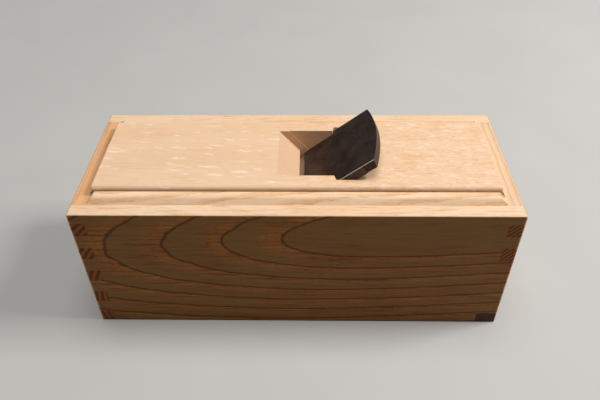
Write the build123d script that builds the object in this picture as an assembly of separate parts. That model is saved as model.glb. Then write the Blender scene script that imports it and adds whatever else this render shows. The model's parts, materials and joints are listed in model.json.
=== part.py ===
from build123d import *
import math
import os

# A Japanese pull plane with one thick iron, lying blade head up in the top of the finger-jointed
# box that catches its shavings. The box has a drawer in its right-hand end.
# X runs along the box towards the drawer, Y across it to the back, Z up.
# The origin is the middle of the box's underside. Millimetres.

# --- driving dimensions: the box
box_length = 290.0
box_width = 115.0
box_height = 105.5
board = 10.0  # every board of the box is planed to this
arris = 0.6  # chamfer along the box's outer edges
left_pin_height = 10.5
left_pin_pitch = 22.0
left_pin_first_gap = 7.5
left_pin_count = 5
right_pins = [(87.5, 98.0), (65.0, 77.0)]  # lowest and highest z of each pin
opening_top = 54.0  # top of the drawer opening
sill_width = 14.6
tongue = 4.0  # the bottom panel's tongue, as thick as it is long
tongue_low = 3.5

# --- driving dimensions: what carries the plane
liner = 9.0  # thickness of the strips beside the plane
liner_rise = 4.0  # how far the strips stand above the rim
liner_end_bevel = 4.3
liner_side_bevel = 3.6  # run of the bevel along the outer edge; it falls to the rim
liner_brow = 3.0  # radius between the strip's top and that bevel
liner_inner_round = 0.6
liner_pin_xs = (-105, -35, 35, 105)
rest_width = 12.0
rest_height = 14.0
rest_arris = 1.0
rest_screw_half = 25.0  # half the distance between a rest's two screws
kicker_width = 6.0
kicker_height = 8.0
kicker_arris = 2.0
kicker_pin_xs = (-100, 0, 100)

# --- driving dimensions: the plane
dai_length = 266.0
dai_width = 76.0
dai_thickness = 23.0
dai_above_rim = 7.0
dai_end_chamfer = 0.8
dai_side_round = 2.4  # along the plane's two top edges
dai_end_round = 0.7
dai_sole_arris = 0.5
dai_on_rest = 0.1  # gap between the sole and the rests
bed_rise = 0.8  # rise of the blade's face for each millimetre along the plane
face_x = 16.1  # a point on the middle of the blade's face
face_drop = 10.45  # and how far it lies below the plane's top
throat_front = -13.0  # x of the throat's front edge at the top
throat_crest_x = 1.6  # where the throat's slope turns down to the mouth
throat_crest_drop = 16.7
throat_half = 25.2  # half the distance between the cheeks
groove_half = 30.2  # half the distance across the blade grooves
mouth_gap = 0.8
notch_inner_x = 24.8  # the grooves open at the top with an upright wall, from here at the cheek
notch_outer_x = 26.2  # to here at the groove's outer side
relief_x = 45.6  # the relief behind the blade starts here
relief_slope = 20.0  # degrees
relief_overlap = 0.4  # how far the relief's cut runs into the bed
cheek_step = 0.5  # the cheeks are pared back by this, away from the throat's slope
cheek_strip = 4.8  # width of the strip along the slope that isn't pared
pared_end_drop = 3.0  # the paring ends this far below the throat's crest

# --- driving dimensions: the blade, along its face from the point above
blade_half = 29.8
edge_half = 24.9  # half the cutting edge, between the ground-off ears
ear_along = -8.0
head_along = 42.3
head_crown = 5.1
head_lean = 0.25  # the head is cut back by this for each millimetre of depth
blade_thickness = 6.34  # where the bed leaves the plane's top
thickness_along = 24.65
blade_taper = 1.2  # degrees between face and back
blade_play = 0.05  # running clearance above and below it
bevel_angle = 28.0
edge_below_sole = 0.06
steel_thickness = 1.5
steel_end = 32.0
hollow_depth = 0.2
hollow_land = 7.0
hollow_end = 24.0
hollow_rim = 4.0  # flat steel left on each side of the hollow
hollow_corner = 6.0
side_flat = 8.5  # length of the flats ground on the sides at the head
side_flat_depth = 0.5
blade_arris = 0.45

# --- driving dimensions: the drawer
drawer_gap = 0.4
drawer_front_thickness = 12.0
drawer_side = 7.0
drawer_side_inset = 0.3
drawer_floor = 3.5
drawer_floor_up = 3.7  # the floor's underside above the sides' lower edge
drawer_groove = 3.2
drawer_back_top = 50.0
drawer_back_gap = 0.5
drawer_arris = 0.5
drawer_front_pin_zs = (22, 34, 46)
drawer_back_pin_zs = (24, 42)
drawer_floor_pin_ys = (-28, 0, 28)
housing = 6.0  # how far the sides go into the drawer front

# --- driving dimensions: knob and fasteners
knob_length = 17.0
knob_radius = 9.0
knob_neck = 4.6
knob_foot = 6.2
knob_foot_thickness = 1.2
screw_radius = 1.75
screw_head = 3.5
screw_head_rim = 0.5
screw_length = 20.0
screw_tip = 4.0
screw_tip_radius = 0.3
screw_clearance = 0.2
recess_slot = 0.9  # width of each slot of the cross recess
recess_depth = 1.3
knob_screw_length = 25.0
knob_screw_head_height = 2.2
washer_radius = 5.5
washer_thickness = 1.0
bamboo = 1.5  # radius of the bamboo pins in the box
drawer_bamboo = 1.25
drawer_pin_bite = 9.0  # how far a pin goes beyond the drawer's side
drawer_floor_pin_length = 14.0
past = 5.0  # how far a cutting shape runs past the face that it cuts

# --- worked out
half_length = box_length / 2
half_width = box_width / 2
inner_x = half_length - board
inner_y = half_width - board
dai_top = box_height + dai_above_rim
sole = dai_top - dai_thickness
rest_top = sole - dai_on_rest
liner_top = box_height + liner_rise
bed_angle = math.atan(bed_rise)
face_z = dai_top - face_drop
along_top = (1 / math.cos(bed_angle)) * (face_drop / bed_rise)
edge_along = (sole - edge_below_sole - face_z) / math.sin(bed_angle)
blade_plane = Plane(
    origin=(face_x, 0, face_z),
    x_dir=(math.cos(bed_angle), 0, math.sin(bed_angle)),
    z_dir=(-math.sin(bed_angle), 0, math.cos(bed_angle)),
)
blade_side_plane = Plane(
    origin=blade_plane.origin, x_dir=blade_plane.x_dir, z_dir=(0, -1, 0)
)
left_pins = [
    (max(0.0, top - left_pin_height), top)
    for top in (
        box_height - left_pin_first_gap - i * left_pin_pitch for i in range(left_pin_count)
    )
]
drawer_low = board + drawer_gap
drawer_high = opening_top - drawer_gap
drawer_half = inner_y - drawer_gap
drawer_side_y = drawer_half - drawer_side_inset
drawer_inner_y = drawer_side_y - drawer_side
drawer_face_x = half_length
drawer_inner_x = drawer_face_x - drawer_front_thickness
drawer_tail_x = -inner_x + drawer_back_gap
knob_z = (drawer_low + drawer_high) / 2
knob_screw_reach = (
    knob_screw_length - knob_screw_head_height - washer_thickness - drawer_front_thickness
)


def block(xs, ys, zs):
    """A box between two values on each axis."""
    size = (xs[1] - xs[0], ys[1] - ys[0], zs[1] - zs[0])
    middle = (sum(xs) / 2, sum(ys) / 2, sum(zs) / 2)
    return Pos(*middle) * Box(*size)


def both_sides(inner, outer, side):
    """The y range from inner to outer on the front (side -1) or the back (side +1)."""
    return tuple(sorted((side * inner, side * outer)))


def prism(points, half_depth):
    """The closed outline of (x, z) points, stretched along Y both ways."""
    outline = Plane.XZ * make_face(Polyline(*points, close=True))
    return extrude(outline, half_depth, both=True)


def group(solids):
    """Several separate solids as one shape."""
    return Compound(children=list(solids))


def cut_all(shape, tools):
    for tool in tools:
        shape = shape - tool
    return shape


# --- the box


def outer_envelope():
    """The whole box as one block, with its outer edges chamfered."""
    whole = block((-half_length, half_length), (-half_width, half_width), (0, box_height))
    return chamfer(whole.edges(), arris)


def end_pins(side, x_side, pins):
    """The pins of an end board where they pass through one long wall."""
    xs = tuple(sorted((x_side * inner_x, x_side * half_length)))
    return [block(xs, both_sides(inner_y, half_width, side), zs) for zs in pins]


def bottom_tongue():
    return block(
        (-inner_x - tongue, half_length - sill_width + tongue),
        (-inner_y - tongue, inner_y + tongue),
        (tongue_low, tongue_low + tongue),
    )


def sill_block():
    return block(
        (half_length - sill_width, half_length), (-half_width, half_width), (0, board)
    )


def long_wall(side):
    wall = block(
        (-half_length, half_length), both_sides(inner_y, half_width, side), (0, box_height)
    )
    sockets = end_pins(side, -1, left_pins) + end_pins(side, 1, right_pins)
    wall = cut_all(wall, sockets + [sill_block(), bottom_tongue()])
    wall = cut_all(wall, liner_pins(side) + kicker_pins(side))
    return wall & outer_envelope()


def end_board(x_side, pins, bottom):
    xs = tuple(sorted((x_side * inner_x, x_side * half_length)))
    wall = block(xs, (-inner_y, inner_y), (bottom, box_height))
    for side in (-1, 1):
        for pin in end_pins(side, x_side, pins):
            wall = wall + pin
    return wall


def left_end_wall():
    wall = end_board(-1, left_pins, 0.0) - bottom_tongue()
    return cut_all(wall, rest_screw_holes(-1)) & outer_envelope()


def right_end_panel():
    wall = end_board(1, right_pins, opening_top)
    return cut_all(wall, rest_screw_holes(1)) & outer_envelope()


def bottom_sill():
    return (sill_block() - bottom_tongue()) & outer_envelope()


def bottom_panel():
    panel = block((-inner_x, half_length - sill_width), (-inner_y, inner_y), (0, board))
    return panel + bottom_tongue()


# --- what carries the plane and guides the drawer


def pin_along_y(x, z, start, end, radius):
    """A round pin from y = start to y = end."""
    middle = Plane(origin=(x, start, z), z_dir=(0, math.copysign(1, end - start), 0))
    return extrude(middle * Circle(radius), abs(end - start))


def liner_pins(side):
    """Bamboo pins from the strip's inner face into the long wall."""
    z = (rest_top + box_height) / 2
    start = side * (inner_y - liner)
    end = side * (inner_y + board / 2)
    return [pin_along_y(x, z, start, end, bamboo) for x in liner_pin_xs]


def kicker_pins(side):
    """Bamboo pins from the kicker's inner face into the long wall."""
    z = opening_top + kicker_height / 2
    start = side * (inner_y - kicker_width)
    end = side * (inner_y + board / 2)
    return [pin_along_y(x, z, start, end, bamboo) for x in kicker_pin_xs]


def liner_strip(side):
    """A strip beside the plane, bevelled along its outer top edge and at both ends."""
    inner, outer = inner_y - liner, inner_y
    section = Polyline(
        (inner, rest_top),
        (inner, liner_top),
        (outer - liner_side_bevel, liner_top),
        (outer, box_height),
        (outer, rest_top),
        close=True,
    )
    strip = extrude(Plane.YZ * make_face(section), inner_x, both=True)
    top_edges = strip.edges().filter_by(Axis.X).group_by(Axis.Z)[-1].sort_by(Axis.Y)
    strip = fillet(top_edges[-1], liner_brow)
    inner_edge = strip.edges().filter_by(Axis.X).group_by(Axis.Z)[-1].sort_by(Axis.Y)[0]
    strip = fillet(inner_edge, liner_inner_round)
    ends = prism(
        [
            (-inner_x, rest_top),
            (inner_x, rest_top),
            (inner_x, box_height),
            (inner_x - liner_end_bevel, liner_top),
            (-inner_x + liner_end_bevel, liner_top),
            (-inner_x, box_height),
        ],
        box_width,
    )
    strip = strip & ends
    if side < 0:
        strip = mirror(strip, Plane.XZ)
    return cut_all(strip, liner_pins(side))


def turned(*profile):
    """A solid turned about Z from its (radius, height) outline."""
    return revolve(Plane.XZ * make_face(Polyline(*profile, close=True)), Axis.Z)


def cross_recess(width):
    """The cross-shaped recess for a screwdriver, at z = 0."""
    slot = Box(width, recess_slot, 2 * recess_depth)
    return slot + Rot(0, 0, 90) * slot


def screw_shape(length):
    """A countersunk wood screw along +Z before its recess is pressed, its top at z = 0."""
    return turned(
        (0, 0),
        (screw_head, 0),
        (screw_head, screw_head_rim),
        (screw_radius, screw_head_rim + screw_head - screw_radius),
        (screw_radius, length - screw_tip),
        (screw_tip_radius, length),
        (0, length),
    )


def rest_screw_places(x_side):
    """The two places where a rest is screwed to its end board, from inside the box."""
    x = x_side * (inner_x - rest_width)
    z = rest_top - rest_height / 2
    return [
        Plane(origin=(x, y, z), z_dir=(x_side, 0, 0)) for y in (-rest_screw_half, rest_screw_half)
    ]


def rest_screw_holes(x_side):
    return [place * screw_shape(screw_length) for place in rest_screw_places(x_side)]


def rest_screws(x_side):
    screw = screw_shape(screw_length) - cross_recess(1.25 * screw_head)
    return [place * screw for place in rest_screw_places(x_side)]


def plane_rest(x_side):
    xs = tuple(sorted((x_side * inner_x, x_side * (inner_x - rest_width))))
    rest = block(xs, (-inner_y, inner_y), (rest_top - rest_height, rest_top))
    inner_edge = rest.edges().filter_by(Axis.Y).group_by(Axis.Z)[-1].sort_by(Axis.X)
    rest = chamfer(inner_edge[0 if x_side > 0 else -1], rest_arris)
    return cut_all(rest, rest_screw_holes(x_side))


def drawer_kicker(side):
    ys = both_sides(inner_y - kicker_width, inner_y, side)
    kicker = block((-inner_x, inner_x), ys, (opening_top, opening_top + kicker_height))
    top_edges = kicker.edges().filter_by(Axis.X).group_by(Axis.Z)[-1].sort_by(Axis.Y)
    kicker = chamfer(top_edges[-1 if side < 0 else 0], kicker_arris)
    return cut_all(kicker, kicker_pins(side))


# --- the plane


def face_line(x):
    """Height of the blade's face at x."""
    return face_z + bed_rise * (x - face_x)


def face_x_at(z):
    return face_x + (z - face_z) / bed_rise


def blade_plan():
    """The blade seen square to its face, up to past its head: straight sides, ears ground off."""
    end = head_along + 2 * head_crown
    plan = Polyline(
        (end, -blade_half),
        (ear_along, -blade_half),
        (edge_along, -edge_half),
        (edge_along, edge_half),
        (ear_along, blade_half),
        (end, blade_half),
        close=True,
    )
    return extrude(blade_plane * make_face(plan), 4 * blade_thickness, both=True)


def head_arch():
    """Everything within the head's arch, which is cut back as it goes down through the blade."""
    radius = (blade_half**2 + head_crown**2) / (2 * head_crown)
    middle = head_along + head_crown - radius
    above = blade_plane * (Pos(middle + head_lean, 0, 1) * Circle(radius))
    down = blade_plane.x_dir * head_lean + blade_plane.z_dir
    return extrude(above, amount=4 * blade_thickness, dir=down * -1)


def thickness_at(along):
    return blade_thickness + (along - thickness_along) * math.tan(math.radians(blade_taper))


def blade_side(points, half_width):
    """An outline of (along, depth) points beside the blade, stretched across it."""
    outline = blade_side_plane * make_face(Polyline(*points, close=True))
    return extrude(outline, half_width, both=True)


def bed_slot():
    """The space of the blade in the plane body, with its running clearance.

    It goes on past the cutting edge and out through the sole, as narrow as the throat.
    """
    low, high = edge_along - 2 * past, head_along
    slot = blade_side(
        [
            (low, blade_play),
            (high, blade_play),
            (high, -thickness_at(high) - blade_play),
            (low, -thickness_at(low) - blade_play),
        ],
        groove_half,
    )
    plan = Polyline(
        (high, -groove_half),
        (ear_along, -groove_half),
        (edge_along, -throat_half),
        (low, -throat_half),
        (low, throat_half),
        (edge_along, throat_half),
        (ear_along, groove_half),
        (high, groove_half),
        close=True,
    )
    return slot & extrude(blade_plane * make_face(plan), dai_width, both=True)


def throat():
    """The shavings' way from the mouth up to the top, between the cheeks."""
    crest_z = dai_top - throat_crest_drop
    slope = (throat_crest_x - throat_front) / throat_crest_drop
    lip_x = face_x_at(sole) - mouth_gap
    lean = (throat_crest_x - lip_x) / (crest_z - sole)
    front = [
        (throat_front - past * slope, dai_top + past),
        (throat_crest_x, crest_z),
        (lip_x - past * lean, sole - past),
    ]
    back = [(face_x_at(sole - past), sole - past), (face_x_at(dai_top + past), dai_top + past)]
    strip = cheek_strip / math.cos(math.atan(slope))
    pared = [(front[0][0] + strip, front[0][1]), (front[1][0] + strip, front[1][1])]
    pared_end = crest_z - pared_end_drop
    pared.append((face_x_at(pared_end), pared_end))
    pared.append(back[1])
    return prism(front + back, throat_half) + prism(pared, throat_half + cheek_step)


def groove_notch():
    """The upright-walled opening of the two blade grooves in the plane's top."""
    above_face = prism(
        [
            (notch_inner_x, dai_top + past),
            (notch_inner_x, face_line(notch_inner_x)),
            (face_x_at(dai_top + past), dai_top + past),
        ],
        groove_half,
    )
    plan = Polyline(
        (notch_inner_x, -throat_half),
        (notch_outer_x, -groove_half),
        (relief_x, -groove_half),
        (relief_x, groove_half),
        (notch_outer_x, groove_half),
        (notch_inner_x, throat_half),
        close=True,
    )
    return above_face & extrude(Plane.XY.offset(sole) * make_face(plan), dai_thickness + past)


def relief():
    """The shallow slope pared into the plane's top behind the blade."""
    fall = math.tan(math.radians(relief_slope))
    bed_x = face_x + along_top * math.cos(bed_angle) + blade_thickness / math.sin(bed_angle)
    reach = (relief_x - bed_x) * bed_rise / (bed_rise - fall) + relief_overlap
    return prism(
        [
            (relief_x + past / fall, dai_top + past),
            (relief_x - reach, dai_top - reach * fall),
            (bed_x + past / bed_rise, dai_top + past),
        ],
        groove_half,
    )


def plane_body():
    body = block(
        (-dai_length / 2, dai_length / 2), (-dai_width / 2, dai_width / 2), (sole, dai_top)
    )
    body = chamfer(body.edges().filter_by(Axis.Z), dai_end_chamfer)
    side_edges = body.faces().sort_by(Axis.Z)[-1].edges().filter_by(Axis.X)
    body = fillet(side_edges, dai_side_round)
    end_edges = body.faces().sort_by(Axis.Z)[-1].edges().filter_by(Axis.Y)
    body = fillet(end_edges, dai_end_round)
    body = chamfer(body.faces().sort_by(Axis.Z)[0].edges(), dai_sole_arris)
    return cut_all(body, [throat(), bed_slot(), groove_notch(), relief()])


# --- the blade


def along_of(edge):
    """How far up the blade the middle of an edge lies."""
    return blade_plane.to_local_coords(edge.center()).X


def whole_blade():
    low, high = edge_along, head_along + head_crown + 1.0
    heel = low + thickness_at(low) / math.tan(math.radians(bevel_angle))
    side = blade_side(
        [(low, 0), (high, 0), (high, -thickness_at(high)), (heel, -thickness_at(heel))],
        2 * blade_half,
    )
    blade = side & blade_plan()
    face = blade.faces().sort_by(Axis(blade_plane.origin, blade_plane.z_dir))[-1]
    side_arrises = [e for e in face.edges() if low + 0.1 < along_of(e) < high - 0.1]
    blade = chamfer(side_arrises, blade_arris) & head_arch()
    flat = block((head_along - side_flat, head_along), (0, side_flat_depth), (-20, -blade_arris))
    for y in (-blade_half, blade_half - side_flat_depth):
        blade -= blade_plane * (Pos(0, y, 0) * flat)
    return blade


def steel_layer():
    return blade_plane * block(
        (edge_along - 1, steel_end), (-blade_half - 1, blade_half + 1), (-steel_thickness, 1)
    )


def hollow():
    """The shallow hollow ground in the steel's face, above the flat land at the edge."""
    start = edge_along + hollow_land
    width = 2 * (edge_half - hollow_rim)
    outline = RectangleRounded(hollow_end - start, width, hollow_corner)
    pocket = extrude(outline, 2 * hollow_depth)
    return blade_plane * (Pos((start + hollow_end) / 2, 0, -hollow_depth) * pocket)


def blade_steel():
    return (whole_blade() & steel_layer()) - hollow()


def blade_iron():
    return whole_blade() - steel_layer()


# --- the drawer


def drawer_front():
    front = block(
        (drawer_inner_x, drawer_face_x), (-drawer_half, drawer_half), (drawer_low, drawer_high)
    )
    front = chamfer(front.faces().sort_by(Axis.X)[-1].edges(), drawer_arris)
    for side in (-1, 1):
        ys = both_sides(drawer_inner_y, drawer_side_y, side)
        front -= block((drawer_inner_x, drawer_inner_x + housing), ys, (drawer_low, drawer_high))
    hole = knob_axis(drawer_inner_x - past) * Circle(screw_radius + screw_clearance)
    front -= extrude(hole, drawer_front_thickness + 2 * past)
    return cut_all(front, drawer_side_pins() + [drawer_bottom()])


def drawer_side_board(side):
    ys = both_sides(drawer_inner_y, drawer_side_y, side)
    board_side = block(
        (drawer_tail_x, drawer_inner_x + housing), ys, (drawer_low, drawer_high - drawer_side_inset)
    )
    return cut_all(board_side, drawer_side_pins() + [drawer_bottom()])


def drawer_floor_z():
    low = drawer_low + drawer_floor_up
    return (low, low + drawer_floor)


def drawer_back():
    back = block(
        (drawer_tail_x, drawer_tail_x + drawer_side),
        (-drawer_inner_y, drawer_inner_y),
        (drawer_floor_z()[1], drawer_back_top),
    )
    return cut_all(back, drawer_side_pins() + drawer_bottom_pins())


def drawer_floor_board():
    return cut_all(drawer_bottom(), drawer_bottom_pins())


def drawer_bottom():
    reach = drawer_inner_y + drawer_groove
    return block(
        (drawer_tail_x, drawer_inner_x + drawer_groove), (-reach, reach), drawer_floor_z()
    )


def drawer_side_pins():
    """Bamboo pins through the sides into the drawer's front and back."""
    places = [(drawer_inner_x + housing / 2, z) for z in drawer_front_pin_zs]
    places += [(drawer_tail_x + drawer_side / 2, z) for z in drawer_back_pin_zs]
    length = drawer_side + drawer_pin_bite
    return [
        pin_along_y(x, z, side * drawer_side_y, side * (drawer_side_y - length), drawer_bamboo)
        for side in (-1, 1)
        for x, z in places
    ]


def drawer_bottom_pins():
    """Bamboo pins up through the drawer's floor into its back."""
    foot = drawer_floor_z()[0]
    x = drawer_tail_x + drawer_side / 2
    return [
        extrude(Plane(origin=(x, y, foot)) * Circle(drawer_bamboo), drawer_floor_pin_length)
        for y in drawer_floor_pin_ys
    ]


def knob_axis(x):
    """A plane at x whose Z runs along the knob's axis, out of the drawer."""
    return Plane(origin=(x, 0, knob_z), z_dir=(1, 0, 0))


def knob_screw():
    """A domed screw from inside the drawer, through the washer and the front into the knob."""
    head_height = knob_screw_head_height
    screw = turned(
        (0, 0),
        (0.33 * screw_head, 0),
        (0.86 * screw_head, 0.4 * head_height),
        (screw_head, head_height),
        (screw_radius, head_height),
        (screw_radius, knob_screw_length - screw_tip),
        (screw_tip_radius, knob_screw_length),
        (0, knob_screw_length),
    )
    start = drawer_inner_x - washer_thickness - head_height
    return knob_axis(start) * (screw - cross_recess(1.1 * screw_head))


def knob_washer():
    ring = Circle(washer_radius) - Circle(screw_radius + screw_clearance)
    return extrude(knob_axis(drawer_inner_x - washer_thickness) * ring, washer_thickness)


def drawer_knob():
    """A turned knob: a foot on the drawer, a hollowed waist and a domed head."""
    foot_top = knob_foot_thickness
    brow = (0.84 * knob_radius, 0.57 * knob_length)
    shoulder = (0.9 * knob_radius, 0.84 * knob_length)
    profile = Curve() + [
        Polyline((0, 0), (knob_foot, 0), (knob_foot, foot_top)),
        ThreePointArc((knob_foot, foot_top), (knob_neck, 0.32 * knob_length), brow),
        ThreePointArc(brow, (knob_radius, 0.7 * knob_length), shoulder),
        TangentArc((0, knob_length), shoulder, tangent=(1, 0)),
        Line((0, knob_length), (0, 0)),
    ]
    knob = revolve(Plane.XZ * make_face(profile), Axis.Z)
    hole = extrude(Plane.XY * Circle(screw_radius), knob_screw_reach + 0.5)
    return knob_axis(drawer_face_x) * (knob - hole)


PARTS = {
    "front_wall": lambda: long_wall(-1),
    "back_wall": lambda: long_wall(1),
    "left_end_wall": left_end_wall,
    "right_end_panel": right_end_panel,
    "bottom_sill": bottom_sill,
    "bottom_panel": bottom_panel,
    "front_liner_strip": lambda: liner_strip(-1),
    "back_liner_strip": lambda: liner_strip(1),
    "liner_pins": lambda: group(liner_pins(-1) + liner_pins(1)),
    "left_plane_rest": lambda: plane_rest(-1),
    "right_plane_rest": lambda: plane_rest(1),
    "rest_screws": lambda: group(rest_screws(-1) + rest_screws(1)),
    "front_drawer_kicker": lambda: drawer_kicker(-1),
    "back_drawer_kicker": lambda: drawer_kicker(1),
    "kicker_pins": lambda: group(kicker_pins(-1) + kicker_pins(1)),
    "drawer_front": drawer_front,
    "drawer_side_near": lambda: drawer_side_board(-1),
    "drawer_side_far": lambda: drawer_side_board(1),
    "drawer_back": drawer_back,
    "drawer_floor": drawer_floor_board,
    "drawer_side_pins": lambda: group(drawer_side_pins()),
    "drawer_floor_pins": lambda: group(drawer_bottom_pins()),
    "drawer_knob": drawer_knob,
    "knob_screw": knob_screw,
    "knob_washer": knob_washer,
    "plane_body": plane_body,
    "blade_iron": blade_iron,
    "blade_steel": blade_steel,
}

os.makedirs("parts", exist_ok=True)
for name, make in PARTS.items():
    export_step(make(), f"parts/{name}.step")
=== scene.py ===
import json
import math

import bpy
from mathutils import Matrix, Vector


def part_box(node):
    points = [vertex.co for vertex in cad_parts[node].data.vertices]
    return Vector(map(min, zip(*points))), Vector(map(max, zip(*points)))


# A Japanese pull plane lying in the top of the finger-jointed box that catches its shavings.
# Lengths named in this script are millimetres unless they are said to be metres, and a material
# works in millimetres of the frame: X along the box, Y across it to the back, Z up.

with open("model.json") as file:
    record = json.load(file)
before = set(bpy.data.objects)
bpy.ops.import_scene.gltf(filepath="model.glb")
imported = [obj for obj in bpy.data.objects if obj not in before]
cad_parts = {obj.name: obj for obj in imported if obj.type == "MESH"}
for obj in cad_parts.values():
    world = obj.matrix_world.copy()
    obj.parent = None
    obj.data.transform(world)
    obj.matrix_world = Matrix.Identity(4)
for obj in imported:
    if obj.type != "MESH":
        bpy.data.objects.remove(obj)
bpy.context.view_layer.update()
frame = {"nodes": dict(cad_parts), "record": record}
MM = 0.001


# --- short calls for building a material


class Shader:
    """One material and the nodes in it. A socket or a plain number can be given to any input."""

    def __init__(self, name):
        self.material = bpy.data.materials.new(name)
        self.material.use_nodes = True
        self.tree = self.material.node_tree
        self.tree.nodes.clear()
        self.place = self.scaled(self.node("ShaderNodeTexCoord").outputs["Object"], 1 / MM)

    def node(self, kind, **settings):
        made = self.tree.nodes.new(kind)
        for key, value in settings.items():
            setattr(made, key, value)
        return made

    def put(self, socket, value):
        if isinstance(value, bpy.types.NodeSocket):
            self.tree.links.new(value, socket)
        else:
            socket.default_value = value

    def math(self, operation, a, b=0.0, clamp=False):
        made = self.node("ShaderNodeMath", operation=operation, use_clamp=clamp)
        self.put(made.inputs[0], a)
        self.put(made.inputs[1], b)
        return made.outputs[0]

    def add(self, a, b):
        return self.math("ADD", a, b)

    def sub(self, a, b):
        return self.math("SUBTRACT", a, b)

    def mul(self, a, b):
        return self.math("MULTIPLY", a, b)

    def scaled(self, vector, by):
        made = self.node("ShaderNodeVectorMath", operation="SCALE")
        self.put(made.inputs[0], vector)
        self.put(made.inputs["Scale"], by)
        return made.outputs[0]

    def stretched(self, vector, by):
        made = self.node("ShaderNodeVectorMath", operation="MULTIPLY")
        self.put(made.inputs[0], vector)
        self.put(made.inputs[1], by)
        return made.outputs[0]

    def shifted(self, vector, by):
        made = self.node("ShaderNodeVectorMath", operation="ADD")
        self.put(made.inputs[0], vector)
        self.put(made.inputs[1], by)
        return made.outputs[0]

    def dot(self, vector, with_vector):
        made = self.node("ShaderNodeVectorMath", operation="DOT_PRODUCT")
        self.put(made.inputs[0], vector)
        self.put(made.inputs[1], with_vector)
        return made.outputs["Value"]

    def parts(self, vector):
        made = self.node("ShaderNodeSeparateXYZ")
        self.put(made.inputs[0], vector)
        return made.outputs[0], made.outputs[1], made.outputs[2]

    def vector(self, x, y, z):
        made = self.node("ShaderNodeCombineXYZ")
        for socket, value in zip(made.inputs, (x, y, z)):
            self.put(socket, value)
        return made.outputs[0]

    def noise(self, vector, scale=1.0, detail=2.0, roughness=0.5, distortion=0.0):
        made = self.node("ShaderNodeTexNoise")
        self.put(made.inputs["Vector"], vector)
        self.put(made.inputs["Scale"], scale)
        self.put(made.inputs["Detail"], detail)
        self.put(made.inputs["Roughness"], roughness)
        self.put(made.inputs["Distortion"], distortion)
        return made.outputs["Fac"]

    def scattered(self, vector):
        """Distance to the nearest of many scattered points, and a number drawn for that point."""
        made = self.node("ShaderNodeTexVoronoi", feature="F1")
        self.put(made.inputs["Vector"], vector)
        self.put(made.inputs["Scale"], 1.0)
        drawn = self.node("ShaderNodeSeparateColor")
        self.put(drawn.inputs[0], made.outputs["Color"])
        return made.outputs["Distance"], drawn.outputs[0]

    def between(self, value, low, high):
        """0 at low, 1 at high, with a smooth rise. low may be the larger."""
        made = self.node("ShaderNodeMapRange", interpolation_type="SMOOTHSTEP")
        self.put(made.inputs["Value"], value)
        self.put(made.inputs["From Min"], low)
        self.put(made.inputs["From Max"], high)
        return made.outputs["Result"]

    def mix(self, share, a, b, blend="MIX"):
        made = self.node("ShaderNodeMix", data_type="RGBA", blend_type=blend)
        self.put(made.inputs["Factor"], share)
        for socket, value in ((made.inputs[6], a), (made.inputs[7], b)):
            self.put(socket, (*value, 1) if isinstance(value, tuple) else value)
        return made.outputs[2]

    def bump(self, height, distance, strength=1.0, normal=None):
        made = self.node("ShaderNodeBump")
        self.put(made.inputs["Height"], height)
        self.put(made.inputs["Distance"], distance * MM)
        self.put(made.inputs["Strength"], strength)
        if normal is not None:
            self.put(made.inputs["Normal"], normal)
        return made.outputs["Normal"]

    def finish(self, colour, roughness, normal, **plain):
        """The surface itself. plain holds inputs that are the same all over."""
        surface = self.node("ShaderNodeBsdfPrincipled")
        output = self.node("ShaderNodeOutputMaterial")
        self.put(surface.inputs["Base Color"], colour)
        self.put(surface.inputs["Roughness"], roughness)
        self.put(surface.inputs["Normal"], normal)
        for key, value in plain.items():
            self.put(surface.inputs[key.replace("_", " ")], value)
        self.put(output.inputs["Surface"], surface.outputs["BSDF"])
        return self.material


def linear(red, green, blue):
    """A colour given as it looks on a screen, 0 to 255, in the linear values that Blender takes."""
    return tuple(
        c / 12.92 if c <= 0.04045 else ((c + 0.055) / 1.055) ** 2.4
        for c in (red / 255, green / 255, blue / 255)
    )


# --- the frame's own measures, in millimetres


def measured(node):
    """The node's lowest and highest corner."""
    low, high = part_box(node)
    return Vector(low) / MM, Vector(high) / MM


FRONT_WALL_HIGH = measured("front_wall")[1]
HALF_LENGTH = FRONT_WALL_HIGH.x
HALF_WIDTH = measured("back_wall")[1].y
RIM = FRONT_WALL_HIGH.z
STEEL_LOW = measured("blade_steel")[0]
IRON_HIGH = measured("blade_iron")[1]
KNOB_LOW = measured("drawer_knob")[0]


# --- wood


class Wood:
    """A species: its colours, and how strong each kind of figure is from 0 to 1.

    pale and tan are the wood between its lines, line is its darkest figure and end its end grain.
    porous, lines, streaks, pores and end_rings are strengths, and gloss takes off roughness.
    """

    def __init__(self, pale, tan, line, end, porous=0.8, lines=0.9, streaks=0.5, pores=0.5,
                 gloss=0.0, end_rings=0.8):
        self.pale = pale
        self.tan = tan
        self.line = line
        self.end = end
        self.porous = porous
        self.lines = lines
        self.streaks = streaks
        self.pores = pores
        self.gloss = gloss
        self.end_rings = end_rings


ASH = Wood(
    linear(226, 196, 164), linear(222, 168, 114), linear(142, 102, 54), linear(184, 130, 84),
    porous=0.9, lines=0.85, streaks=0.9, pores=1.0,
)
DARK_ENDED_ASH = Wood(
    linear(226, 196, 164), linear(222, 168, 114), linear(148, 104, 64), linear(88, 54, 28),
    porous=0.9, lines=0.9, streaks=0.8, pores=0.9, end_rings=0.6,
)
ORANGE_LINED_ASH = Wood(
    linear(214, 186, 156), linear(212, 174, 132), linear(200, 150, 100), linear(184, 130, 84),
    porous=0.8, lines=0.8, streaks=0.6, pores=0.6,
)
# deeper tan for the left end wall: partly its own tone, partly painted bounce light that warms the
# shade the plane casts on its top
TAN_ASH = Wood(
    linear(222, 172, 124), linear(206, 148, 98), linear(156, 104, 62), linear(184, 130, 84),
    porous=0.6, lines=0.6, streaks=0.7, pores=0.6,
)
STRIP = Wood(
    linear(228, 196, 162), linear(216, 168, 116), linear(196, 144, 92), linear(206, 164, 122),
    porous=0.55, lines=0.35, streaks=0.4, pores=0.35,
)
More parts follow.
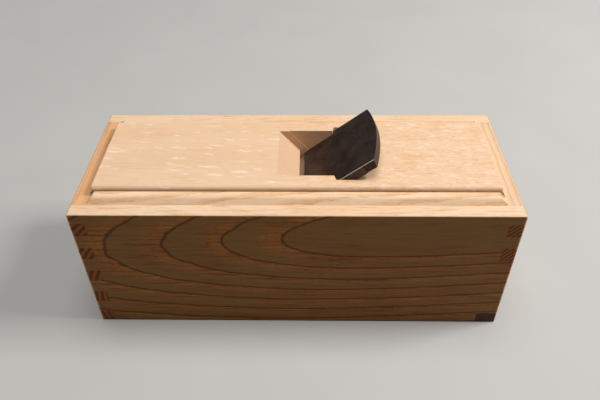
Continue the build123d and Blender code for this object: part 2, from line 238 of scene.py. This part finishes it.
OAK = Wood(
    linear(224, 190, 157), linear(215, 173, 132), linear(200, 152, 112), linear(212, 174, 140),
    porous=0.12, lines=0.04, streaks=0.45, pores=0.3, end_rings=0.15,
)
PALE_STRIP = Wood(
    linear(232, 202, 172), linear(216, 168, 116), linear(190, 138, 84), linear(210, 168, 126),
    porous=0.8, lines=0.4, streaks=0.6, pores=0.5,
)
BAMBOO = Wood(
    linear(222, 194, 140), linear(206, 172, 112), linear(176, 138, 82), linear(150, 112, 64),
    porous=0.2, lines=0.1, streaks=0.9, pores=0.2, gloss=0.1,
)
TURNED = Wood(
    linear(198, 138, 84), linear(178, 112, 60), linear(140, 80, 38), linear(128, 76, 40),
    porous=0.7, lines=0.8, streaks=0.5, pores=0.6, gloss=0.15,
)
# painted shade on the box's upright outer faces, over some browning of the oiled wood: smooth late
# wood, porous wood, end grain; then the corners, pale from wear and a painted highlight
OUTSIDE_OIL_AND_SHADE_TONE = (0.29, 0.18, 0.062)
OUTSIDE_POROUS_OIL_AND_SHADE_TONE = (0.50, 0.29, 0.10)
OUTSIDE_END_OIL_AND_SHADE_TONE = (0.37, 0.20, 0.034)
WORN_AND_HIGHLIGHT_TONE = (0.72, 0.52, 0.34)


def near_corner(s, arris=0.7):
    """1 on the box's upright outer corners, the arrises between its faces, pale from wear and from a
    painted highlight.
    """
    x, y, _ = s.parts(s.place)
    out = s.add(s.math("ABSOLUTE", x), s.math("ABSOLUTE", y))
    corner = HALF_LENGTH + HALF_WIDTH
    return s.between(out, corner - 2 * arris, corner - arris)


def worn_and_highlit_corner(s):
    """1 on the corners below the rim, which carry wear and a painted highlight."""
    z = s.parts(s.place)[2]
    return s.mul(near_corner(s), s.between(z, RIM - 0.6, RIM - 2.0))


def outside_mask(s, reach=0.65):
    """1 on the box's upright outer faces, which take the painted shade, 0 inside it, on its rim and on
    its corners, which are pale from wear and a painted highlight.
    """
    x, y, z = s.parts(s.place)
    end = s.math("ABSOLUTE", x)
    side = s.math("ABSOLUTE", y)
    on_end = s.between(end, HALF_LENGTH - reach - 0.1, HALF_LENGTH - reach)
    on_side = s.between(side, HALF_WIDTH - reach - 0.1, HALF_WIDTH - reach)
    below_rim = s.between(z, RIM - 0.25, RIM - 0.45)
    off_corner = s.sub(1.0, near_corner(s))
    return s.mul(s.mul(s.math("MAXIMUM", on_end, on_side), below_rim), off_corner)


def end_grain_mask(s, grain):
    """1 where the surface cuts across the grain."""
    normal = s.node("ShaderNodeTexCoord").outputs["Normal"]
    facing = s.parts(normal)["XYZ".index(grain)]
    return s.between(s.math("ABSOLUTE", facing), 0.55, 0.8)


class Log:
    """Where a board was sawn from its log.

    pith is a point of the log's middle line as (along, across, up), and drift is how far that line
    moves across and up for each millimetre along. nearest is the least that it may lie across from
    the point's board face, with the bend rounded over turn. ring is the width of a year's growth,
    first the radius of one dark line, line its thickness, heart the radius within which no line
    shows, wander how far the rings stray from circles, and on_rim how much of the figure is left
    where the box's rim has been planed and bleached.
    """

    def __init__(self, pith, drift=(0, 0), ring=4.0, first=0.0, heart=0.0, wander=1.0, line=0.8,
                 on_rim=0.12, nearest=None, turn=1.0):
        self.pith = pith
        self.drift = drift
        self.ring = ring
        self.first = first
        self.heart = heart
        self.wander = wander
        self.line = line
        self.on_rim = on_rim
        self.nearest = nearest
        self.turn = turn


def grain_frame(s, grain):
    """The material's place as (along the grain, across, up), in millimetres."""
    x, y, z = s.parts(s.place)
    return {"X": (x, y, z), "Y": (y, x, z), "Z": (z, x, y)}[grain]


def radius_from_pith(s, log, along, across, up):
    """How far out in the log the place lies, and from 0 to 1 how squarely its face cuts the rings."""
    run = s.sub(along, log.pith[0])
    pith_across = s.add(log.pith[1], s.mul(run, log.drift[0]))
    if log.nearest is not None:
        smooth = s.node("ShaderNodeMath", operation="SMOOTH_MAX")
        s.put(smooth.inputs[0], pith_across)
        s.put(smooth.inputs[1], log.nearest)
        s.put(smooth.inputs[2], log.turn)
        pith_across = smooth.outputs[0]
    from_across = s.sub(across, pith_across)
    from_up = s.sub(up, s.add(log.pith[2], s.mul(run, log.drift[1])))
    squares = s.add(s.math("POWER", from_across, 2.0), s.math("POWER", from_up, 2.0))
    radius = s.math("SQRT", squares)
    return radius, s.math("DIVIDE", s.math("ABSOLUTE", from_up), radius)


def wood(name, species, log, grain="X", seed=0.0, outside=False, flecks=False):
    """Growth rings about a pith line, and the pores, fibres and colour drift of one board."""
    s = Shader(name)
    along, across, up = grain_frame(s, grain)
    board = s.shifted(s.vector(along, across, up), (seed * 37.0, seed * 17.0, seed * 53.0))
    slow = s.noise(s.stretched(board, (0.012, 0.03, 0.03)), 1.0, 2.0, 0.5)
    ripple = s.noise(s.stretched(board, (0.07, 0.12, 0.12)), 1.0, 2.5, 0.55)
    jitter = s.noise(s.stretched(board, (0.16, 0.8, 0.8)), 1.0, 1.0, 0.5)
    radius, squarely = radius_from_pith(s, log, along, across, up)
    radius = s.add(radius, s.mul(s.sub(slow, 0.5), 3.0 * log.wander))
    radius = s.add(radius, s.mul(s.sub(ripple, 0.5), 3.2 * log.wander))
    ragged = s.add(radius, s.mul(s.sub(jitter, 0.5), 0.45 * log.ring))
    season = s.math("FRACT", s.mul(s.sub(radius, log.first), 1 / log.ring))
    ragged_season = s.math("FRACT", s.mul(s.sub(ragged, log.first), 1 / log.ring))
    beyond_heart = s.between(radius, log.heart, log.heart + 0.4 * log.ring + 0.01)
    # a thin dark line where growth starts, then a porous zone that fades into smooth late wood
    half_line = s.mul(s.add(s.mul(squarely, 0.62), 0.38), log.line / 2 / log.ring)
    from_line = s.math("MINIMUM", season, s.sub(1.0, season))
    line = s.mul(s.between(from_line, half_line, s.mul(half_line, 0.3)), beyond_heart)
    porous = s.mul(s.between(ragged_season, 0.66, 0.04), s.between(season, 0.0, 0.03))
    porous = s.mul(porous, beyond_heart)
    if outside:
        z = s.parts(s.place)[2]
        off_rim = s.add(s.mul(s.between(z, RIM - 0.3, RIM - 0.6), 1 - log.on_rim), log.on_rim)
        line = s.mul(line, off_rim)
        porous = s.mul(porous, off_rim)

    fibre = s.noise(s.stretched(board, (0.035, 0.6, 0.6)), 1.0, 4.0, 0.65)
    hair = s.noise(s.stretched(board, (0.13, 3.0, 3.0)), 1.0, 2.0, 0.6)
    pore_distance, pore_drawn = s.scattered(s.stretched(board, (0.16, 1.1, 1.1)))
    pore = s.mul(s.between(pore_distance, 0.36, 0.16), s.between(pore_drawn, 0.45, 0.6))
    pore = s.mul(pore, s.add(s.mul(porous, 0.85), 0.15))
    patch = s.noise(s.stretched(board, (0.010, 0.05, 0.05)), 1.0, 2.0, 0.5)

    colour = s.mix(s.mul(s.between(patch, 0.35, 0.7), 0.35), species.pale, species.tan)
    colour = s.mix(s.mul(porous, species.porous), colour, species.tan)
    dark_streak = s.mul(s.between(fibre, 0.50, 0.68), s.add(s.mul(porous, 0.5), 0.4))
    pale_streak = s.mul(s.between(fibre, 0.48, 0.32), s.add(s.mul(porous, 0.5), 0.5))
    colour = s.mix(s.mul(dark_streak, species.streaks), colour, species.line)
    colour = s.mix(s.mul(pale_streak, species.streaks), colour, species.pale)
    colour = s.mix(s.mul(line, species.lines), colour, species.line)
    colour = s.mix(s.mul(pore, species.pores), colour, species.line)
    colour = s.mix(s.mul(s.between(hair, 0.55, 0.8), 0.4 * species.streaks), colour, species.line)

    height = s.sub(s.mul(fibre, 0.35), s.mul(pore, species.pores))
    height = s.add(height, s.mul(hair, 0.25))
    if flecks:
        colour, height = ray_flecks(s, board, colour, height)

    cut_across = end_grain_mask(s, grain)
    dark_half = s.mul(s.between(from_line, 0.36, 0.14), species.end_rings)
    pale_end = tuple((1 + 0.6 * species.end_rings) * c for c in species.end)
    dark_end = tuple(0.22 * c for c in species.end)
    end_colour = s.mix(dark_half, pale_end, dark_end)
    colour = s.mix(s.mul(cut_across, 0.9), colour, end_colour)
    if outside:
        # painted highlight and wear: the upright corners get a lighter tone and no outside shade
        colour = s.mix(worn_and_highlit_corner(s), colour, WORN_AND_HIGHLIGHT_TONE, "MULTIPLY")
        # painted shade: the upright outer faces multiplied by dark brown tones, over the oiled wood's
        # own browning
        porous_share_in_shade = s.mul(porous, s.add(0.55, s.mul(pale_streak, 0.45)))
        tone = s.mix(porous_share_in_shade, OUTSIDE_OIL_AND_SHADE_TONE, OUTSIDE_POROUS_OIL_AND_SHADE_TONE)
        tone = s.mix(cut_across, tone, OUTSIDE_END_OIL_AND_SHADE_TONE)
        colour = s.mix(outside_mask(s), colour, tone, "MULTIPLY")
    roughness = s.add(0.50 - species.gloss, s.mul(fibre, 0.2))
    return s.finish(colour, roughness, s.bump(height, 0.10, 0.5), Specular_IOR_Level=0.2)


def ray_flecks(s, board, colour, height):
    """The silver flecks of quartered oak, many at the left of the plane and few at its right, where
    the grain has ticks, ochre patches and curl instead."""
    wobble = s.noise(s.stretched(board, (0.10, 0.10, 0.10)), 1.0, 2.0, 0.6)
    along, across, up = s.parts(board)
    leaning = s.add(across, s.add(s.mul(along, 0.06), s.mul(s.sub(wobble, 0.5), 5.0)))
    x = s.parts(s.place)[0]
    crowd = s.between(x, 40.0, -20.0)
    fleck = 0.0
    for length, width, shift, share in ((24.0, 3.4, 0.0, 0.58), (12.0, 2.2, 31.0, 0.78)):
        at = s.vector(s.mul(s.add(along, shift), 1 / length), s.mul(leaning, 1 / width), s.mul(up, 0.2))
        distance, drawn = s.scattered(at)
        enough = s.between(drawn, share, share + 0.03)
        fleck = s.math("MAXIMUM", fleck, s.mul(s.between(distance, 0.38, 0.20), enough))
    fleck = s.mul(fleck, s.add(s.mul(crowd, 0.8), 0.2))
    frayed = s.noise(s.stretched(board, (0.16, 1.2, 0.4)), 1.0, 2.0, 0.6)
    fleck = s.mul(fleck, s.between(frayed, 0.36, 0.52))
    tick_distance, tick_drawn = s.scattered(s.stretched(board, (0.35, 0.7, 0.7)))
    tick = s.mul(s.between(tick_distance, 0.30, 0.12), s.between(tick_drawn, 0.86, 0.9))
    tick = s.mul(tick, s.sub(1.0, s.mul(crowd, 0.9)))
    ochre = s.noise(s.stretched(board, (0.035, 0.09, 0.09)), 1.0, 2.0, 0.5)
    ochre = s.mul(s.between(ochre, 0.52, 0.70), s.sub(1.0, s.mul(crowd, 0.8)))
    colour = s.mix(s.mul(ochre, 0.6), colour, linear(214, 170, 116))
    colour = s.mix(s.mul(fleck, 0.7), colour, linear(240, 214, 194))
    colour = s.mix(s.mul(tick, 0.55), colour, linear(176, 122, 76))
    curl = s.noise(s.stretched(board, (0.16, 0.42, 0.42)), 1.0, 2.5, 0.6, 0.8)
    plain_half = s.sub(1.0, s.mul(crowd, 0.75))
    curled = s.mul(plain_half, 0.5)
    colour = s.mix(s.mul(s.between(curl, 0.54, 0.70), curled), colour, linear(204, 160, 118))
    colour = s.mix(s.mul(s.between(curl, 0.46, 0.32), curled), colour, linear(240, 214, 190))
    return colour, s.add(height, s.mul(fleck, 0.4))


# --- metal


def blade_place(s):
    """(along, across, depth) in the blade, in millimetres from the middle of its cutting edge."""
    joints = frame["record"]["behaviour"]["joints"]
    slide = next(joint for joint in joints if joint["name"] == "blade_slide")
    up_the_blade = Vector(slide["axis"]).normalized()
    into_the_blade = Vector((up_the_blade.z, 0, -up_the_blade.x))
    from_edge = s.shifted(s.place, (-STEEL_LOW.x, 0, -STEEL_LOW.z))
    across = s.parts(from_edge)[1]
    return s.dot(from_edge, up_the_blade), across, s.dot(from_edge, into_the_blade)


HEAD_FLAT = 54.0  # the flats on the blade's sides start this far up from its cutting edge
BEVEL_RUN = 1.88  # along the blade for each millimetre through it, on the ground bevel
LAND = 5.8  # width of the bright land above the cutting edge


def forged_blade(name):
    """Dark forge scale, bright on the ground land and bevel and along its side arrises, which are bared
    by wear and carry a painted highlight.
    """
    s = Shader(name)
    along, across, depth = blade_place(s)
    half = IRON_HIGH.y
    cloud = s.noise(s.place, 0.10, 4.0, 0.6)
    blotch = s.noise(s.place, 0.45, 3.0, 0.6)
    speck = s.noise(s.place, 2.2, 3.0, 0.6)
    drawn_out = s.noise(s.stretched(s.vector(along, across, depth), (0.06, 0.7, 0.7)), 1.0, 3.0, 0.6)
    colour = s.mix(s.between(cloud, 0.35, 0.7), linear(58, 46, 44), linear(82, 64, 56))
    colour = s.mix(s.mul(s.between(blotch, 0.5, 0.75), 0.5), colour, linear(104, 82, 70))
    colour = s.mix(s.mul(s.between(speck, 0.62, 0.8), 0.35), colour, linear(132, 108, 94))
    roughness = s.add(0.34, s.mul(speck, 0.22))

    # ground steel: the bevel under the edge, the land above it, and the side arrises bared by wear,
    # which also carry a painted highlight
    edge_wave = s.add(along, s.mul(s.sub(cloud, 0.5), 3.0))
    on_face = s.between(depth, 0.35, 0.15)
    land = s.mul(s.between(edge_wave, LAND + 0.6, LAND - 0.6), on_face)
    below = s.sub(s.mul(along, 1 / BEVEL_RUN), depth)
    bevel = s.between(below, 0.25, 0.05)
    from_side = s.sub(half, s.math("ABSOLUTE", across))
    # the side arrises: bare steel from wear, and a painted highlight for the light they catch
    wear_and_highlight_noise = s.between(speck, 0.30, 0.55)
    worn_and_highlight = s.mul(s.mul(s.between(from_side, 0.62, 0.42), on_face), s.add(s.mul(wear_and_highlight_noise, 0.5), 0.5))
    flat = s.mul(s.between(along, HEAD_FLAT, HEAD_FLAT + 0.3), s.between(from_side, 0.56, 0.52))
    flat = s.mul(flat, s.between(depth, 0.45, 0.6))
    colour = s.mix(s.mul(flat, 0.7), colour, linear(34, 26, 22))
    bare = s.math("MAXIMUM", s.math("MAXIMUM", land, bevel), s.mul(worn_and_highlight, 0.9))
    grey = s.mul(s.between(drawn_out, 0.35, 0.7), 0.6)
    steel = s.mix(grey, linear(206, 200, 192), linear(166, 158, 150))
    colour = s.mix(bare, colour, steel)
    # painted highlight: a pale warm colour, less metallic, along the side arrises
    colour = s.mix(worn_and_highlight, colour, linear(250, 226, 204))
    roughness = s.sub(roughness, s.mul(bare, 0.12))
    height = s.mul(s.add(speck, s.mul(blotch, 1.5)), s.sub(1.0, s.mul(bare, 0.85)))
    height = s.add(height, s.mul(drawn_out, 0.3))
    metallic = s.sub(s.add(0.6, s.mul(bare, 0.4)), s.mul(worn_and_highlight, 0.8))
    return s.finish(colour, roughness, s.bump(height, 0.06, 0.5), Metallic=metallic)


def brass(name):
    """Yellow metal, duller and browner in its hollows and blotches."""
    s = Shader(name)
    cloud = s.noise(s.place, 0.5, 3.0, 0.6)
    scratch = s.noise(s.stretched(s.place, (0.6, 6.0, 6.0)), 1.0, 2.0, 0.6)
    colour = s.mix(cloud, linear(186, 142, 72), linear(228, 192, 120))
    colour = s.mix(s.mul(s.between(cloud, 0.55, 0.75), 0.5), colour, linear(138, 100, 52))
    roughness = s.add(0.22, s.mul(cloud, 0.25))
    return s.finish(colour, roughness, s.bump(scratch, 0.02, 0.5), Metallic=1.0)


# --- every node's material


def front_log():
    """The front wall's cathedral figure: the pith comes near its face at the right."""
    return Log(
        pith=(0, -HALF_WIDTH + 21.4, 86.0), drift=(-0.26, 0.081), ring=10.26, first=3.1,
        heart=16.0, wander=0.6, line=2.1, nearest=-HALF_WIDTH + 4.0, turn=20.0,
    )


def box_materials():
    """The box's own boards, which are oiled outside and carry painted shade on their upright outer
    faces.
    """
    left = Log(pith=(0, -68, 20), ring=4.2, wander=0.5, on_rim=0.5)
    right = Log(pith=(0, 240, -20), ring=2.6, line=0.6, wander=0.45, on_rim=0.9)
    sill = Log(pith=(0, 200, -60), ring=2.8, wander=0.4)
    back = Log(pith=(-90, 20, 62), drift=(0.18, 0.03), ring=8.5, wander=0.8)
    base = Log(pith=(0, 20, -55), drift=(0.03, 0.05), ring=7.0, wander=1.5)
    return {
        "front_wall": wood("ash_front", ASH, front_log(), "X", 1, outside=True),
        "back_wall": wood("ash_back", ASH, back, "X", 2, outside=True),
        # its tan is partly painted bounce light in the plane's shadow
        "left_end_wall": wood("ash_left", TAN_ASH, left, "Y", 3, outside=True),
        "right_end_panel": wood("ash_right", ORANGE_LINED_ASH, right, "Y", 4, outside=True),
        "bottom_sill": wood("ash_sill", DARK_ENDED_ASH, sill, "Y", 5, outside=True),
        "bottom_panel": wood("ash_base", ASH, base, "X", 6),
    }


def inner_materials():
    """What carries the plane and guides the drawer."""
    front_strip = Log(pith=(-60, -90, 60), drift=(0.06, 0.09), ring=7.0, wander=1.6)
    back_strip = Log(pith=(-20, 100, 55), drift=(0.04, 0.07), ring=7.0, wander=1.6)
    rest = Log(pith=(0, 60, 140), ring=3.0, wander=0.8)
    kicker = Log(pith=(0, 30, -20), drift=(0.02, 0.01), ring=3.5, wander=1.0)
    bamboo = wood("bamboo", BAMBOO, Log(pith=(0, 0, -90), ring=2.0, wander=0.3), "Y", 7)
    metal = brass("brass")
    rests = wood("ash_rest", ASH, rest, "Y", 8)
    kickers = wood("ash_kicker", ASH, kicker, "X", 9)
    return {
        "front_liner_strip": wood("strip_front", PALE_STRIP, front_strip, "X", 10),
        "back_liner_strip": wood("strip_back", PALE_STRIP, back_strip, "X", 11),
        "left_plane_rest": rests, "right_plane_rest": rests,
        "front_drawer_kicker": kickers, "back_drawer_kicker": kickers,
        "liner_pins": bamboo, "kicker_pins": bamboo, "drawer_side_pins": bamboo,
        "drawer_floor_pins": bamboo,
        "rest_screws": metal, "knob_screw": metal, "knob_washer": metal,
    }


def drawer_materials():
    face = Log(pith=(-20, 165, 30), drift=(0.20, 0.02), ring=6.5, wander=0.8)
    sides = Log(pith=(0, 75, -80), drift=(0.02, 0.05), ring=4.0, wander=1.0)
    floor_log = Log(pith=(0, 20, -40), drift=(0.02, 0.03), ring=6.0, wander=1.2)
    back = Log(pith=(0, -60, 90), drift=(0.02, 0.03), ring=4.0, wander=1.0)
    knob = Log(pith=(HALF_LENGTH, 3.0, KNOB_LOW.z), ring=2.2, wander=0.3)
    side = wood("drawer_side_wood", STRIP, sides, "X", 13)
    return {
        "drawer_front": wood("drawer_face", ASH, face, "Y", 12, outside=True),
        "drawer_side_near": side, "drawer_side_far": side,
        "drawer_floor": wood("drawer_floor_wood", STRIP, floor_log, "X", 14),
        "drawer_back": wood("drawer_back_wood", STRIP, back, "Y", 15),
        "drawer_knob": wood("knob_wood", TURNED, knob, "X", 16),
    }


def plane_materials():
    oak = Log(pith=(0, -190, 40), drift=(0.01, 0.01), ring=2.1, wander=0.7)
    blade = forged_blade("blade_scale")
    return {
        "plane_body": wood("white_oak", OAK, oak, "X", 17, flecks=True),
        "blade_iron": blade, "blade_steel": blade,
    }


def paint_nodes():
    chosen = {**box_materials(), **inner_materials(), **drawer_materials(), **plane_materials()}
    for node, material in chosen.items():
        mesh = frame["nodes"][node].data
        mesh.materials.clear()
        mesh.materials.append(material)


# --- stage


def floor():
    half = 12.0  # metres
    mesh = bpy.data.meshes.new("floor")
    corners = [(-half, -half, 0), (half, -half, 0), (half, half, 0), (-half, half, 0)]
    mesh.from_pydata(corners, [], [(0, 1, 2, 3)])
    made = bpy.data.objects.new("floor", mesh)
    bpy.context.scene.collection.objects.link(made)
    s = Shader("floor")
    mottle = s.noise(s.place, 0.01, 2.0, 0.5)
    colour = s.mix(mottle, linear(176, 174, 170), linear(184, 182, 178))
    mesh.materials.append(s.finish(colour, s.add(0.8, s.mul(mottle, 0.1)), s.bump(mottle, 0.01, 0.1)))


def softbox(name, place, target, size, power, colour=(1, 1, 1)):
    """An area light in metres and watts, aimed at target."""
    data = bpy.data.lights.new(name, "AREA")
    data.shape = "RECTANGLE"
    data.size, data.size_y = size
    data.energy = power
    data.color = colour
    light = bpy.data.objects.new(name, data)
    light.location = place
    light.rotation_euler = (Vector(target) - Vector(place)).to_track_quat("-Z", "Y").to_euler()
    bpy.context.scene.collection.objects.link(light)


def overhead(strength, spread):
    """An even light straight down, as soft as a sky of that many degrees across."""
    data = bpy.data.lights.new("overhead", "SUN")
    data.energy = strength
    data.angle = math.radians(spread)
    bpy.context.scene.collection.objects.link(bpy.data.objects.new("overhead", data))


def studio():
    middle = (0, 0, 0.08)
    softbox("key", (1.125, 0.075, 1.275), middle, (0.52, 0.52), 20.6, (1.0, 0.99, 0.985))
    overhead(2.0, 40)
    world = bpy.data.worlds.new("studio")
    world.use_nodes = True
    world.node_tree.nodes["Background"].inputs["Color"].default_value = (1, 1, 1, 1)
    world.node_tree.nodes["Background"].inputs["Strength"].default_value = 0.07
    bpy.context.scene.world = world


def photo_camera():
    """The camera stands in front of the box, looks down by 41 degrees and is turned a little."""
    place = Vector((9.15, -332.10, 358.53)) * MM
    yaw, pitch, roll = (math.radians(a) for a in (1.285, -41.111, 0.674))
    data = bpy.data.cameras.new("photo_camera")
    data.sensor_width = 36.0
    data.lens = 35.82
    camera = bpy.data.objects.new("photo_camera", data)
    turn = (
        Matrix.Rotation(yaw, 4, "Z")
        @ Matrix.Rotation(pitch, 4, "X")
        @ Matrix.Rotation(roll, 4, "Y")
        @ Matrix.Rotation(math.radians(90), 4, "X")
    )
    camera.matrix_world = Matrix.Translation(place) @ turn
    bpy.context.scene.collection.objects.link(camera)
    bpy.context.scene.camera = camera
    bpy.context.scene.view_settings.view_transform = "Standard"


photo_camera()
studio()
floor()
paint_nodes()
